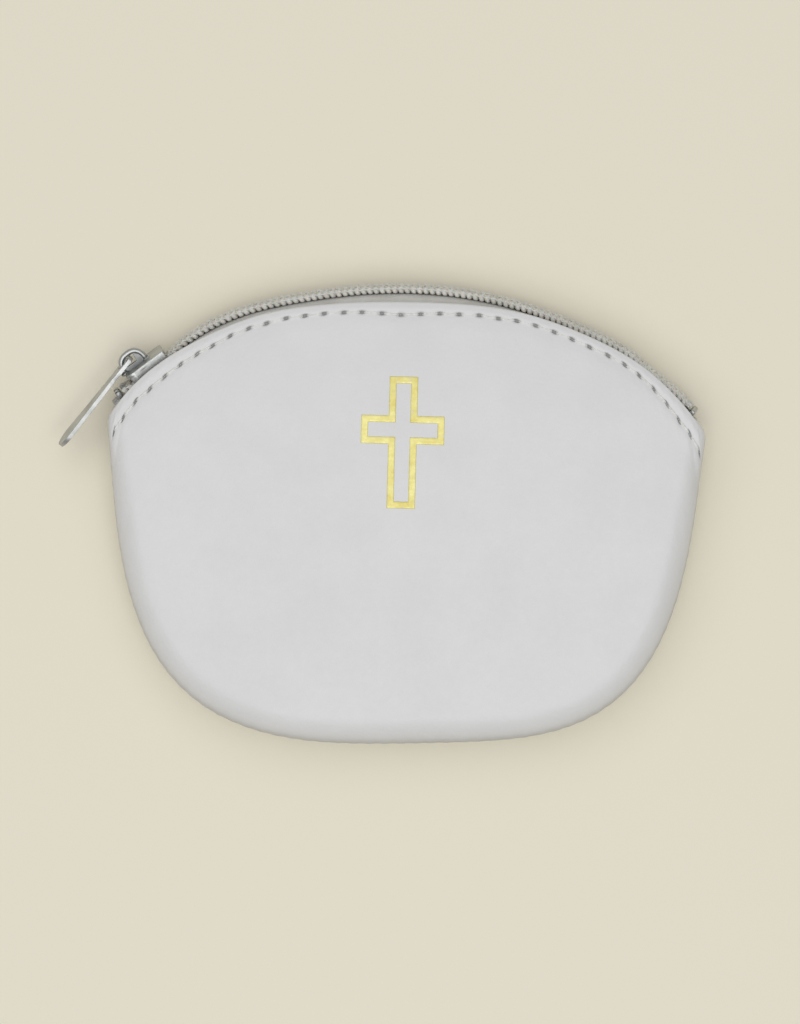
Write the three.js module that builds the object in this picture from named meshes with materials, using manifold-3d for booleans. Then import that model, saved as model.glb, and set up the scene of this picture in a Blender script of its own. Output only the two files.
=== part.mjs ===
// A small leather purse for a rosary, closed by a curved coil zip and lying on its back.
// Two leather panels are sewn face to face along a U-shaped seam and turned, a fabric lining
// hangs inside them, and the zip's two tapes close the curved mouth.
//
// Millimetres. +X is to the right, +Y towards the zip and +Z up, out of the front panel.
// The origin is the middle of the flat back face that the purse rests on.

import * as THREE from "three";
import { mergeVertices } from "three/addons/utils/BufferGeometryUtils.js";
import Module from "manifold-3d";

const wasm = await Module();
wasm.setup();

// ---- Driving dimensions -----------------------------------------------------------------

const CORNER_Y = 14.4; // height of the mouth's two corners above the origin

// The sewn seam: a U that hangs from the corners, straight-sided with round bottom corners.
const SEAM = { halfWidth: 47.8, depth: 50.3, taper: 0.083, sidePower: 3.76, basePower: 3.36 };

// The mouth edge of each leather panel: the top of an ellipse.
const MOUTH = { halfWidth: 49.04, rise: 27.2, centreY: CORNER_Y - 7.2 };

// Heights above and below the seam, which lies half-way up the purse.
const SEAM_Z = 5.8;
const FRONT_RISE = 6.6; // fullest part of the front
const BACK_RISE = SEAM_Z; // so that the back rests at z = 0
const EDGE_RISE = 5.15; // both panels at the mouth edge
const EDGE_REACH = 16; // the panels level out this far from the mouth
const ROLL_WIDTH = 5; // the panels roll over this far from the seam
const CROWN = { drop: 0.08, reach: 20 }; // the front keeps climbing gently towards its middle
const CORNER_BLEND = 3.3; // the mouth edges come together over this length at each corner

const LEATHER = 0.9;
const LINING = 0.35;
const LINING_INSET = 1.6; // outside of the leather to outside of the lining
const LINING_SETBACK = 3; // the lining stops this far inside the mouth edge
const SEAM_GAP = 0.3; // clearance between the two panels along the seam

// The zip follows a circular arc at seam height, so that the slider runs round its centre.
const ZIP_CENTRE_Y = CORNER_Y - 46.1;
const TAPE = { outerRadius: 67.2, thickness: 0.35, top: 4.1, foot: 0.4, tuck: 7.2, halfAngle: 44.2 };
const COIL = { outerRadius: 68.4, thickness: 1.1, inner: 0.45, outer: 2.05, halfAngle: 42.2 };
const LEAN = { angle: 16, radius: 67.8 }; // the coils and slider lean back about this line
const STOP = { thickness: 1.1, arcLength: 0.9, clearance: 0.3 };

// The slider, in a frame whose x runs back along the zip and whose y is the zip's radius.
const SLIDER_ANGLE = 37.6; // where the slider is parked, round from the middle of the zip
const SLIDER = {
  front: -3.6,
  rear: 3.7,
  frontHalf: 3.25,
  rearHalf: 2.75,
  flange: 0.5,
  bottom: 65.8,
  channelBottom: 66.4,
  slotBottom: 66.65,
  slotTop: 67.45,
  channelTop: 69.05,
  top: 69.8,
};
const CROWN_ARCH = { x: -1.4, halfLength: 2.15, height: 2.65, bar: 0.75, halfWidth: 0.5 };
const PULL = {
  pivotRadius: 71.3,
  length: 17.9,
  thickness: 0.8,
  eyeHalf: 1.7,
  neckHalf: 1.4,
  tipHalf: 2.45,
  rail: 0.8,
  eyeEnd: 2.5,
  turn: 15.5, // degrees in towards the purse from the slider's own line
};

// The front's upper lip hinges up when the zip is open.
const LIP = { axisY: CORNER_Y + 2, cutRadius: 10, clearance: 0.15 };

const STITCH = { setback: 2, radius: 0.18, lift: 0.32 };
const SEAM_THREAD = { inset: 1.25, radius: 0.16 };

// The stamped cross: a thin outline, measured on its outer edge.
const CROSS = {
  topY: CORNER_Y + 7.5,
  height: 20.9,
  width: 13.2,
  bar: 4.5,
  armDrop: 6.2,
  stroke: 1.1,
  thickness: 0.12,
  lift: 0.2,
  x: -0.6,
};

const COLUMNS = 28; // steps round each panel
const FLAT_ROWS = 5;
const ROLL_ROWS = 4;

// ---- Materials --------------------------------------------------------------------------

const material = (color, roughness, metalness) =>
  new THREE.MeshStandardMaterial({ color, roughness, metalness });
const leather = material(0xdedddb, 0.5, 0);
const lining = material(0xd6d4cf, 0.85, 0);
const tapeCloth = material(0xb9b8b2, 0.9, 0);
const nylon = material(0xb0afab, 0.45, 0);
const thread = material(0xe4e2dc, 0.8, 0);
const zinc = material(0xc9cccd, 0.28, 1);
const goldFoil = material(0xd9c25f, 0.3, 1);

// ---- Solids -----------------------------------------------------------------------------

const radians = THREE.MathUtils.degToRad;

// A closed geometry as a solid that booleans can use, faces out.
function solid(geometry) {
  const bare = geometry.clone();
  bare.deleteAttribute("normal");
  bare.deleteAttribute("uv");
  const merged = mergeVertices(bare, 1e-4);
  const corners = merged.index.array;
  const kept = [];
  for (let i = 0; i < corners.length; i += 3) {
    const [a, b, c] = corners.slice(i, i + 3);
    if (a !== b && b !== c && c !== a) kept.push(a, b, c);
  }
  const build = (triangles) =>
    new wasm.Manifold(
      new wasm.Mesh({
        numProp: 3,
        vertProperties: new Float32Array(merged.attributes.position.array),
        triVerts: new Uint32Array(triangles),
      }),
    );
  const made = build(kept);
  return made.volume() < 0 ? build(kept.reverse()) : made;
}

// The geometry of a solid.
function geometryOf(body) {
  const mesh = body.getMesh();
  const geometry = new THREE.BufferGeometry();
  geometry.setAttribute("position", new THREE.BufferAttribute(mesh.vertProperties, 3));
  geometry.setIndex(new THREE.BufferAttribute(mesh.triVerts, 1));
  geometry.computeVertexNormals();
  return geometry;
}

// A solid skinned over equal loops of points. Each loop runs out along one face of the piece
// and back along the other, so each end is closed by a strip between the two faces.
function loft(loops) {
  const around = loops[0].length;
  const index = [];
  const quad = (a, b, c, d) => index.push(a, b, c, a, c, d);
  for (let i = 0; i + 1 < loops.length; i++) {
    for (let j = 0; j < around; j++) {
      const next = (j + 1) % around;
      quad(i * around + j, i * around + next, (i + 1) * around + next, (i + 1) * around + j);
    }
  }
  const last = (loops.length - 1) * around;
  for (let j = 0; j + 1 < around / 2; j++) {
    const back = around - 1 - j;
    quad(j, back, back - 1, j + 1);
    quad(last + j, last + j + 1, last + back - 1, last + back);
  }
  const geometry = new THREE.BufferGeometry().setFromPoints(loops.flat());
  geometry.setIndex(index);
  return solid(geometry);
}

// A round thread along a list of points.
function threadAlong(points, radius, sides = 5) {
  const section = new THREE.Shape();
  for (let i = 0; i < sides; i++) {
    const angle = (2 * Math.PI * i) / sides;
    const [x, y] = [radius * Math.cos(angle), radius * Math.sin(angle)];
    if (i) section.lineTo(x, y);
    else section.moveTo(x, y);
  }
  section.closePath();
  return new THREE.ExtrudeGeometry(section, {
    steps: points.length - 1,
    extrudePath: new THREE.CatmullRomCurve3(points),
    bevelEnabled: false,
  });
}

// ---- Panel surfaces ---------------------------------------------------------------------

// The inset seam as a curve from the right corner, round the bottom, to the left corner.
class SeamCurve extends THREE.Curve {
  constructor(inset, mouthInset) {
    super();
    this.inset = inset;
    this.arcLengthDivisions = 400;
    let [low, high] = [0, Math.PI / 4];
    for (let i = 0; i < 40; i++) {
      const middle = (low + high) / 2;
      const point = this.at(middle);
      if (point.y > mouthY(point.x, mouthInset)) low = middle;
      else high = middle;
    }
    this.start = high;
  }
  outer(turn) {
    const side = Math.sign(Math.cos(turn)) * Math.abs(Math.cos(turn)) ** (2 / SEAM.sidePower);
    const drop = SEAM.depth * Math.abs(Math.sin(turn)) ** (2 / SEAM.basePower);
    return new THREE.Vector2((SEAM.halfWidth - SEAM.taper * drop) * side, CORNER_Y - drop);
  }
  at(turn) {
    const step = 1e-3;
    const before = this.outer(Math.max(turn - step, 0));
    const after = this.outer(Math.min(turn + step, Math.PI));
    const along = after.sub(before).normalize();
    return this.outer(turn).add(new THREE.Vector2(along.y, -along.x).multiplyScalar(this.inset));
  }
  getPoint(fraction) {
    const point = this.at(THREE.MathUtils.lerp(this.start, Math.PI - this.start, fraction));
    return new THREE.Vector3(point.x, point.y, 0);
  }
}

// The mouth edge's height at x, with the ellipse drawn in by an inset.
function mouthY(x, inset) {
  const share = Math.min(Math.abs(x) / (MOUTH.halfWidth - inset), 1);
  return MOUTH.centreY + (MOUTH.rise - inset) * Math.sqrt(1 - share ** 2);
}

// How far the mouth stands open at x: 1 along most of it, 0 at the corner.
function cornerTaper(x, cornerX) {
  const share = Math.max(0, Math.abs(x) - (cornerX - CORNER_BLEND)) / CORNER_BLEND;
  return (1 - Math.min(share, 1) ** 4) ** 0.25;
}

// Height of a panel's face above the seam, from its distances to the mouth and to the seam.
function panelHeight(side, inset, fromMouth, fromSeam, length) {
  const full = (side > 0 ? FRONT_RISE : BACK_RISE) - inset;
  const edge = EDGE_RISE - inset;
  const shy = 1 - Math.min(fromSeam / CROWN.reach, 1);
  const top = side > 0 ? full * (1 - CROWN.drop * shy ** 2) : full;
  const level = 1 - (1 - Math.min(fromMouth / EDGE_REACH, 1)) ** 2;
  const roll = Math.min(ROLL_WIDTH, 0.75 * length);
  const rolled = Math.sqrt(1 - (1 - Math.min(fromSeam / roll, 1)) ** 2);
  return THREE.MathUtils.lerp(edge, top, level) * rolled;
}

// One face of a panel, as columns of points that run from the mouth edge to the seam.
function panelFace(side, inset, mouthInset) {
  const seam = new SeamCurve(inset, mouthInset);
  const cornerX = seam.getPoint(0).x;
  const [a, b] = [MOUTH.halfWidth - mouthInset, MOUTH.rise - mouthInset];
  const start = Math.acos(cornerX / a);
  const mouth = new THREE.EllipseCurve(0, MOUTH.centreY, a, b, start, Math.PI - start);
  const columns = [];
  for (let i = 0; i <= COLUMNS; i++) {
    const even = i / COLUMNS;
    const fraction = even - (0.6 * Math.sin(2 * Math.PI * even)) / (2 * Math.PI);
    const top = mouth.getPointAt(fraction);
    const foot = seam.getPointAt(fraction);
    const from = new THREE.Vector3(top.x, top.y, 0);
    columns.push(panelColumn(side, inset, from, foot, cornerTaper(top.x, cornerX)));
  }
  return columns;
}

// The points of one column, closer together near the mouth and where the panel rolls over.
function panelColumn(side, inset, top, foot, taper) {
  const length = top.distanceTo(foot);
  const roll = Math.min(ROLL_WIDTH, 0.75 * length);
  const distances = [];
  for (let j = 0; j < FLAT_ROWS; j++) distances.push((length - roll) * (j / FLAT_ROWS) ** 1.7);
  for (let j = 0; j <= ROLL_ROWS; j++) {
    distances.push(length - roll + roll * Math.sin((Math.PI / 2) * (j / ROLL_ROWS)));
  }
  return distances.map((along) => {
    const point = top.clone().lerp(foot, length ? along / length : 0);
    const height = panelHeight(side, inset, along, length - along, length || 1) * taper;
    point.z = SEAM_Z + side * (SEAM_GAP / 2 + height * (1 - SEAM_GAP / 2 / BACK_RISE));
    return point;
  });
}

// A panel of one thickness between two faces.
function panel(side, inset, thickness, mouthInset) {
  const outer = panelFace(side, inset, mouthInset);
  const inner = panelFace(side, inset + thickness, mouthInset);
  return loft(outer.map((column, i) => [...column, ...inner[i].reverse()]));
}

// ---- Zip --------------------------------------------------------------------------------

// A point at an angle round the zip, an outward radius and a height above the seam.
function zipPoint(angle, radius, height) {
  const turn = radians(angle);
  return new THREE.Vector3(
    radius * Math.sin(turn),
    ZIP_CENTRE_Y + radius * Math.cos(turn),
    SEAM_Z + height,
  );
}

// A radius and height with the zip's lean, which turns its outer side up.
function leaned([radius, height]) {
  const [cos, sin] = [Math.cos(radians(LEAN.angle)), Math.sin(radians(LEAN.angle))];
  const out = radius - LEAN.radius;
  return [LEAN.radius + out * cos - height * sin, height * cos + out * sin];
}

// A section, given as a function of the angle, swept round the zip between two angles.
function sweepZip(section, from, to, steps) {
  const loops = [];
  for (let i = 0; i <= steps; i++) {
    const angle = from + ((to - from) * i) / steps;
    loops.push(section(angle).map(([radius, height]) => zipPoint(angle, radius, height)));
  }
  return loft(loops);
}

// The tape leans beside the coil, then bends in under the leather, where it is sewn.
function tapeSection(side) {
  return (angle) => {
    const nearEnd = Math.max(0, Math.abs(angle) - 41) / 4;
    const top = TAPE.top * (1 - 0.5 * nearEnd ** 2);
    const tuck = TAPE.tuck * (1 - THREE.MathUtils.smoothstep(Math.abs(angle), 36, 42)) + 0.4;
    const full = (side > 0 ? FRONT_RISE * (1 - CROWN.drop / 2) : BACK_RISE) - EDGE_RISE;
    const face = (radius) => {
      const edge = zipPoint(angle, radius, 0);
      const fromMouth = Math.max(0, mouthY(edge.x, 0) - edge.y);
      return top + full * (1 - (1 - Math.min(fromMouth / EDGE_REACH, 1)) ** 2);
    };
    const [outer, inner] = [TAPE.outerRadius, TAPE.outerRadius - TAPE.thickness];
    const stand = (radius, height) => leaned([radius, side * height]);
    const bend = stand(outer, top)[0] - THREE.MathUtils.lerp(1.2, 0.5, Math.min(1, nearEnd * 2));
    const rows = [bend, bend - tuck / 2, bend - tuck];
    const outside = [
      stand(outer, TAPE.foot),
      stand(outer, top - 0.5),
      stand(outer - 0.2, top - 0.1),
      ...rows.map((radius) => [radius, side * face(radius)]),
    ];
    const inside = [
      stand(inner, TAPE.foot),
      stand(inner, top - 0.7),
      stand(inner - 0.15, top - 0.45),
      ...rows.map((radius) => [radius, side * (face(radius) - TAPE.thickness)]),
    ];
    return [...outside, ...inside.reverse()];
  };
}

// A coil is drawn as one eight-sided bar as thick and wide as its turns.
function coilSection(side) {
  const [low, high] = [COIL.outerRadius - COIL.thickness, COIL.outerRadius];
  const [near, far] = [COIL.inner, COIL.outer];
  const cut = 0.3;
  const corners = [
    [low, near + cut],
    [low, far - cut],
    [low + cut, far],
    [high - cut, far],
    [high, far - cut],
    [high, near + cut],
    [high - cut, near],
    [low + cut, near],
  ];
  return () => corners.map(([radius, height]) => leaned([radius, side * height]));
}

// A metal stop: a rounded block crimped on the tape just past the end of the coils.
function stop(startAngle, direction, low, high) {
  const edge = 0.15;
  const block = new THREE.Shape();
  block.moveTo(edge, low + edge);
  block.lineTo(STOP.arcLength - edge, low + edge);
  block.lineTo(STOP.arcLength - edge, high - edge);
  block.lineTo(edge, high - edge);
  block.closePath();
  const geometry = new THREE.ExtrudeGeometry(block, {
    depth: STOP.thickness - 2 * edge,
    bevelSize: edge,
    bevelThickness: edge,
    bevelSegments: 2,
  });
  geometry.translate(0, 0, edge);
  geometry.rotateX(Math.PI / 2).scale(direction, -1, 1);
  geometry.translate(0, TAPE.outerRadius + 0.15 - LEAN.radius, 0);
  geometry.rotateX(radians(LEAN.angle)).translate(0, LEAN.radius, SEAM_Z);
  geometry.rotateZ(-radians(startAngle));
  geometry.translate(0, ZIP_CENTRE_Y, 0);
  return solid(geometry);
}

// ---- Slider and pull tab ----------------------------------------------------------------

// A plate in the slider's own frame: its outline in x and z, extruded along the radius.
function sliderPlate(frontHalf, rearHalf, low, high, front, rear, bevel) {
  const outline = new THREE.Shape();
  outline.moveTo(front + 1.2, -frontHalf);
  outline.lineTo(rear - 0.5, -rearHalf);
  outline.quadraticCurveTo(rear, -rearHalf, rear, -rearHalf + 0.5);
  outline.lineTo(rear, rearHalf - 0.5);
  outline.quadraticCurveTo(rear, rearHalf, rear - 0.5, rearHalf);
  outline.lineTo(front + 1.2, frontHalf);
  outline.quadraticCurveTo(front, frontHalf, front, frontHalf - 1.4);
  outline.lineTo(front, -frontHalf + 1.4);
  outline.quadraticCurveTo(front, -frontHalf, front + 1.2, -frontHalf);
  const geometry = new THREE.ExtrudeGeometry(outline, {
    depth: high - low - 2 * bevel,
    bevelEnabled: bevel > 0,
    bevelSize: bevel,
    bevelOffset: -bevel,
    bevelThickness: bevel,
    bevelSegments: 2,
    curveSegments: 3,
  });
  geometry.rotateX(-Math.PI / 2);
  geometry.translate(0, low + bevel, 0);
  return solid(geometry);
}

// Two plates with side flanges that leave a slot for the tapes, joined by the nose post.
function sliderBody() {
  const { front, rear, frontHalf, rearHalf, flange } = SLIDER;
  const over = 1; // cutters run past both ends
  const block = sliderPlate(frontHalf, rearHalf, SLIDER.bottom, SLIDER.top, front, rear, 0.2);
  const channelShape = new THREE.Shape();
  const slope = (frontHalf - rearHalf) / (rear - front);
  const frontInner = frontHalf - flange + slope * over;
  const rearInner = rearHalf - flange - slope * over;
  channelShape.moveTo(front - over, -frontInner);
  channelShape.lineTo(rear + over, -rearInner);
  channelShape.lineTo(rear + over, rearInner);
  channelShape.lineTo(front - over, frontInner);
  channelShape.closePath();
  const channel = new THREE.ExtrudeGeometry(channelShape, {
    depth: SLIDER.channelTop - SLIDER.channelBottom,
    bevelEnabled: false,
  });
  channel.rotateX(-Math.PI / 2).translate(0, SLIDER.channelBottom, 0);
  const slotHeight = SLIDER.slotTop - SLIDER.slotBottom;
  const slot = new THREE.BoxGeometry(rear - front + 2 * over, slotHeight, 2 * frontHalf + over);
  slot.translate((front + rear) / 2, (SLIDER.slotTop + SLIDER.slotBottom) / 2, 0);
  const nose = new THREE.Shape();
  nose.moveTo(front + 0.3, 0);
  nose.lineTo(front + 0.9, -0.2);
  nose.lineTo(front + 2.2, -0.2);
  nose.lineTo(front + 2.6, 0);
  nose.lineTo(front + 2.2, 0.2);
  nose.lineTo(front + 0.9, 0.2);
  nose.closePath();
  const postDepth = SLIDER.channelTop - SLIDER.channelBottom + 0.6;
  const post = new THREE.ExtrudeGeometry(nose, { depth: postDepth, bevelEnabled: false });
  post.rotateX(-Math.PI / 2).translate(0, SLIDER.channelBottom - 0.3, 0);
  return block.subtract(solid(channel)).subtract(solid(slot)).add(solid(post));
}

// The crown: a flat wire arch over the top plate that holds the pull tab's eye.
function sliderCrown() {
  const { halfLength, height, bar, halfWidth } = CROWN_ARCH;
  const arch = (path, half, tall) => {
    path.bezierCurveTo(-half, tall * 0.75, -half * 0.62, tall, 0, tall);
    path.bezierCurveTo(half * 0.62, tall, half, tall * 0.75, half, 0);
  };
  const outline = new THREE.Shape();
  outline.moveTo(-halfLength, 0);
  arch(outline, halfLength, height);
  outline.lineTo(halfLength - bar, 0);
  const [innerHalf, innerTall] = [halfLength - bar, height - bar * 0.85];
  outline.bezierCurveTo(innerHalf, innerTall * 0.8, innerHalf * 0.75, innerTall, 0, innerTall);
  outline.bezierCurveTo(-innerHalf * 0.75, innerTall, -innerHalf, innerTall * 0.8, -innerHalf, 0);
  outline.closePath();
  const bevel = 0.12;
  const geometry = new THREE.ExtrudeGeometry(outline, {
    depth: 2 * halfWidth - 2 * bevel,
    bevelSize: bevel,
    bevelOffset: -bevel,
    bevelThickness: bevel,
    bevelSegments: 2,
    curveSegments: 8,
  });
  geometry.translate(CROWN_ARCH.x, SLIDER.top + 0.15, -halfWidth + bevel);
  return solid(geometry);
}

// The pull tab, pivot at the origin, pointing along -x with its width along z.
function pullTab() {
  const { length, thickness, eyeHalf, neckHalf, tipHalf, rail, eyeEnd } = PULL;
  const back = rail / 2;
  const outline = new THREE.Shape();
  outline.moveTo(back, -eyeHalf + 0.6);
  outline.lineTo(back, eyeHalf - 0.6);
  outline.quadraticCurveTo(back, eyeHalf, back - 0.6, eyeHalf);
  outline.lineTo(-eyeEnd, eyeHalf);
  outline.quadraticCurveTo(-eyeEnd - 1.2, eyeHalf, -eyeEnd - 2, neckHalf);
  outline.lineTo(-length + tipHalf, tipHalf);
  outline.absarc(-length + tipHalf, 0, tipHalf, Math.PI / 2, (3 * Math.PI) / 2, false);
  outline.lineTo(-eyeEnd - 2, -neckHalf);
  outline.quadraticCurveTo(-eyeEnd - 1.2, -eyeHalf, -eyeEnd, -eyeHalf);
  outline.lineTo(back - 0.6, -eyeHalf);
  outline.quadraticCurveTo(back, -eyeHalf, back, -eyeHalf + 0.6);
  const eye = new THREE.Path();
  const holeHalf = eyeHalf - rail;
  eye.moveTo(-back, holeHalf);
  eye.lineTo(-back, -holeHalf);
  eye.lineTo(-eyeEnd + 0.4, -holeHalf);
  eye.quadraticCurveTo(-eyeEnd, -holeHalf, -eyeEnd, 0);
  eye.quadraticCurveTo(-eyeEnd, holeHalf, -eyeEnd + 0.4, holeHalf);
  eye.closePath();
  outline.holes.push(eye);
  const bevel = 0.15;
  const geometry = new THREE.ExtrudeGeometry(outline, {
    depth: thickness - 2 * bevel,
    bevelSize: bevel,
    bevelOffset: -bevel,
    bevelThickness: bevel,
    bevelSegments: 2,
    curveSegments: 6,
  });
  geometry.rotateX(-Math.PI / 2);
  geometry.translate(0, -thickness / 2 + bevel, 0);
  return solid(geometry);
}

// ---- Trim -------------------------------------------------------------------------------

// The row of top stitching, set back from a panel's mouth edge.
function stitchRow(side) {
  const columns = panelFace(side, 0, 0).slice(3, -3);
  const points = columns.map((column) => {
    const along = Math.min(STITCH.setback / column[0].distanceTo(column[1]), 1);
    const point = column[0].clone().lerp(column[1], along);
    point.z += side * STITCH.lift;
    return point;
  });
  return solid(threadAlong(points, STITCH.radius));
}

// The thread that joins the panels, hidden between the leather and the lining.
function seamThread() {
  const points = new SeamCurve(SEAM_THREAD.inset, 0).getSpacedPoints(54).slice(1, -1);
  return solid(threadAlong(points.map((p) => p.setZ(SEAM_Z)), SEAM_THREAD.radius));
}

// The outline of a Latin cross, with the same outline inside it cut away.
function goldCross() {
  const { height, width, bar, armDrop, stroke } = CROSS;
  const trace = (path, inset) => {
    const [arm, post] = [width / 2 - inset, bar / 2 - inset];
    const [armTop, armFoot] = [-armDrop - inset, -armDrop - bar + inset];
    const right = [
      [post, -height + inset],
      [post, armFoot],
      [arm, armFoot],
      [arm, armTop],
      [post, armTop],
      [post, -inset],
    ];
    const left = right.map(([x, y]) => [-x, y]).reverse();
    [...right, ...left].forEach(([x, y], i) => (i ? path.lineTo(x, y) : path.moveTo(x, y)));
    path.closePath();
    return path;
  };
  const outline = trace(new THREE.Shape(), 0);
  outline.holes.push(trace(new THREE.Path(), stroke));
  const flat = new THREE.ExtrudeGeometry(outline, {
    depth: CROSS.thickness,
    bevelEnabled: false,
  });
  const place = flat.attributes.position;
  for (let i = 0; i < place.count; i++) {
    const y = place.getY(i) + CROSS.topY;
    const x = place.getX(i) + CROSS.x;
    const height = panelHeight(1, 0, mouthY(x, 0) - y, CROWN.reach, CROWN.reach);
    place.setXYZ(i, x, y, place.getZ(i) + SEAM_Z + SEAM_GAP / 2 + height + CROSS.lift);
  }
  return solid(flat);
}

// ---- The lip that lifts -----------------------------------------------------------------

// Everything in front of the seam plane and outside a cylinder about the lip's hinge line.
function lipRegion(cutRadius) {
  const reach = 60;
  const block = new THREE.BoxGeometry(2 * reach, reach, reach);
  block.translate(0, LIP.axisY + reach / 2, SEAM_Z + reach / 2);
  const round = new THREE.CylinderGeometry(cutRadius, cutRadius, 2.2 * reach, 64);
  round.rotateZ(Math.PI / 2).translate(0, LIP.axisY, SEAM_Z);
  return solid(block).subtract(solid(round));
}

const lipSide = lipRegion(LIP.cutRadius + LIP.clearance);
const fixedSide = lipRegion(LIP.cutRadius - LIP.clearance);
const lipOf = (body) => body.intersect(lipSide);
const restOf = (body) => body.subtract(fixedSide);

// The two ends that stay when a piece's middle belongs to the lip, left end first.
function endsOf(body) {
  const middleX = (piece) => piece.boundingBox().min[0] + piece.boundingBox().max[0];
  return restOf(body)
    .decompose()
    .sort((a, b) => middleX(a) - middleX(b));
}

// ---- Assembly ---------------------------------------------------------------------------

const purse = new THREE.Group();

function add(name, body, finish, parent = purse) {
  const mesh = new THREE.Mesh(geometryOf(body), finish);
  mesh.name = name;
  parent.add(mesh);
}

function addPanels() {
  const front = panel(1, 0, LEATHER, 0);
  add("front_panel", restOf(front), leather);
  add("front_panel_lip", lipOf(front), leather);
  add("back_panel", panel(-1, 0, LEATHER, 0), leather);
  const frontLining = panel(1, LINING_INSET, LINING, LINING_SETBACK);
  add("front_lining", restOf(frontLining), lining);
  add("front_lining_lip", lipOf(frontLining), lining);
  add("back_lining", panel(-1, LINING_INSET, LINING, LINING_SETBACK), lining);
  add("seam_thread", seamThread(), thread);
}

function addZip() {
  const tape = (side) => sweepZip(tapeSection(side), -TAPE.halfAngle, TAPE.halfAngle, 36);
  const coil = (side) => sweepZip(coilSection(side), -COIL.halfAngle, COIL.halfAngle, 34);
  const parts = [
    ["tape", tape, tapeCloth],
    ["coil", coil, nylon],
  ];
  for (const [name, make, finish] of parts) {
    const front = make(1);
    const [left, right] = endsOf(front);
    add("front_" + name + "_left", left, finish);
    add("front_" + name + "_lip", lipOf(front), finish);
    add("front_" + name + "_right", right, finish);
    add("back_" + name, make(-1), finish);
  }
  const end = COIL.halfAngle + THREE.MathUtils.radToDeg(STOP.clearance / COIL.outerRadius);
  add("front_top_stop", stop(-end, -1, COIL.inner, COIL.outer), zinc);
  add("back_top_stop", stop(-end, -1, -COIL.outer, -COIL.inner), zinc);
  add("bottom_stop", stop(end, 1, -COIL.outer, COIL.outer), zinc);
}

function addSlider() {
  const track = new THREE.Group();
  track.position.set(0, ZIP_CENTRE_Y, SEAM_Z);
  track.rotation.z = radians(SLIDER_ANGLE);
  purse.add(track);
  const slider = new THREE.Group();
  const [radius, height] = leaned([0, 0]);
  slider.position.set(0, radius, height);
  slider.rotation.x = radians(LEAN.angle);
  track.add(slider);
  add("slider_body", sliderBody(), zinc, slider);
  add("slider_crown", sliderCrown(), zinc, slider);
  const pivot = new THREE.Group();
  pivot.position.set(CROWN_ARCH.x, PULL.pivotRadius, 0);
  pivot.rotation.z = radians(PULL.turn);
  slider.add(pivot);
  add("pull_tab", pullTab(), zinc, pivot);
}

function addTrim() {
  const front = stitchRow(1);
  const [left, right] = endsOf(front);
  add("front_stitch_left", left, thread);
  add("front_stitch_lip", lipOf(front), thread);
  add("front_stitch_right", right, thread);
  add("back_stitch", stitchRow(-1), thread);
  add("gold_cross", goldCross(), goldFoil);
}

addPanels();
addZip();
addSlider();
addTrim();

export default purse;
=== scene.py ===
"""A small white leather purse for a rosary, closed by a curved coil zip, lying on its back.

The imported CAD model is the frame. Lengths are millimetres, as in the CAD source, until
mesh_object() and metal_object() turn them into metres. +X is to the right, +Y towards the
zip, +Z up.
"""

import math

import bmesh
import bpy
import numpy as np
from mathutils import Matrix, Vector, noise


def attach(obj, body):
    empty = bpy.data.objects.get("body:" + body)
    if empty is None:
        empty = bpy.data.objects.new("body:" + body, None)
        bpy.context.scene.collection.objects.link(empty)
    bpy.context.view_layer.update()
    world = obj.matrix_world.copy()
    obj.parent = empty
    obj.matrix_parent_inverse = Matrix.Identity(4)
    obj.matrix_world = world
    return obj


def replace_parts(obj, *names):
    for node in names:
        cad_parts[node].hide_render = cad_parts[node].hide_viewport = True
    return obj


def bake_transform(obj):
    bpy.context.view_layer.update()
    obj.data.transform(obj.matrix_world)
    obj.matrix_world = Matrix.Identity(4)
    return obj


MM = 0.001
FRONT, BACK = 1, -1  # the two sides of the purse

# ---- Dimensions shared with the CAD source ----

CORNER_Y = 14.4
SEAM_HALF_WIDTH, SEAM_DEPTH, SEAM_TAPER = 47.8, 50.3, 0.083
SEAM_SIDE_POWER, SEAM_BASE_POWER = 3.76, 3.36
MOUTH_HALF_WIDTH, MOUTH_RISE, MOUTH_CENTRE_Y = 49.04, 27.2, CORNER_Y - 7.2

SEAM_Z = 5.8
FRONT_RISE, BACK_RISE, EDGE_RISE = 6.6, SEAM_Z, 5.15
EDGE_REACH, CORNER_BLEND = 16, 3.3
CROWN_DROP, CROWN_REACH = 0.08, 20
LEATHER = 0.9
LINING, LINING_INSET, LINING_SETBACK = 0.35, 1.6, 3
SEAM_GAP = 0.3

ZIP_CENTRE_Y = CORNER_Y - 46.1
LEAN_ANGLE, LEAN_RADIUS = 16, 67.8
TAPE_OUTER, TAPE_THICKNESS, TAPE_TOP, TAPE_FOOT, TAPE_TUCK = 67.2, 0.35, 4.1, 0.4, 7.2
TAPE_HALF_ANGLE, COIL_HALF_ANGLE = 44.2, 42.2
COIL_OUTER, COIL_THICKNESS, COIL_FAR = 68.4, 1.1, 2.05

SLIDER_ANGLE = 37.6
SLIDER_FRONT, SLIDER_REAR, SLIDER_FRONT_HALF, SLIDER_REAR_HALF = -3.6, 3.7, 3.25, 2.75
SLIDER_BOTTOM, CHANNEL_BOTTOM, SLOT_BOTTOM = 65.8, 66.4, 66.65
SLOT_TOP, CHANNEL_TOP, SLIDER_TOP, FLANGE = 67.45, 69.05, 69.8, 0.5
RAIL_X = -1.4
PULL_RADIUS, PULL_LENGTH, PULL_TURN = 71.3, 17.9, 15.5
PULL_EYE_HALF, PULL_NECK_HALF, PULL_TIP_HALF, PULL_RAIL, PULL_EYE_END = 1.7, 1.4, 2.45, 0.8, 2.5

CROSS_TOP_Y, CROSS_X, CROSS_HEIGHT, CROSS_WIDTH = CORNER_Y + 7.5, -0.6, 20.9, 13.2
CROSS_BAR, CROSS_ARM_DROP, CROSS_STROKE = 4.5, 6.2, 1.1

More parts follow.
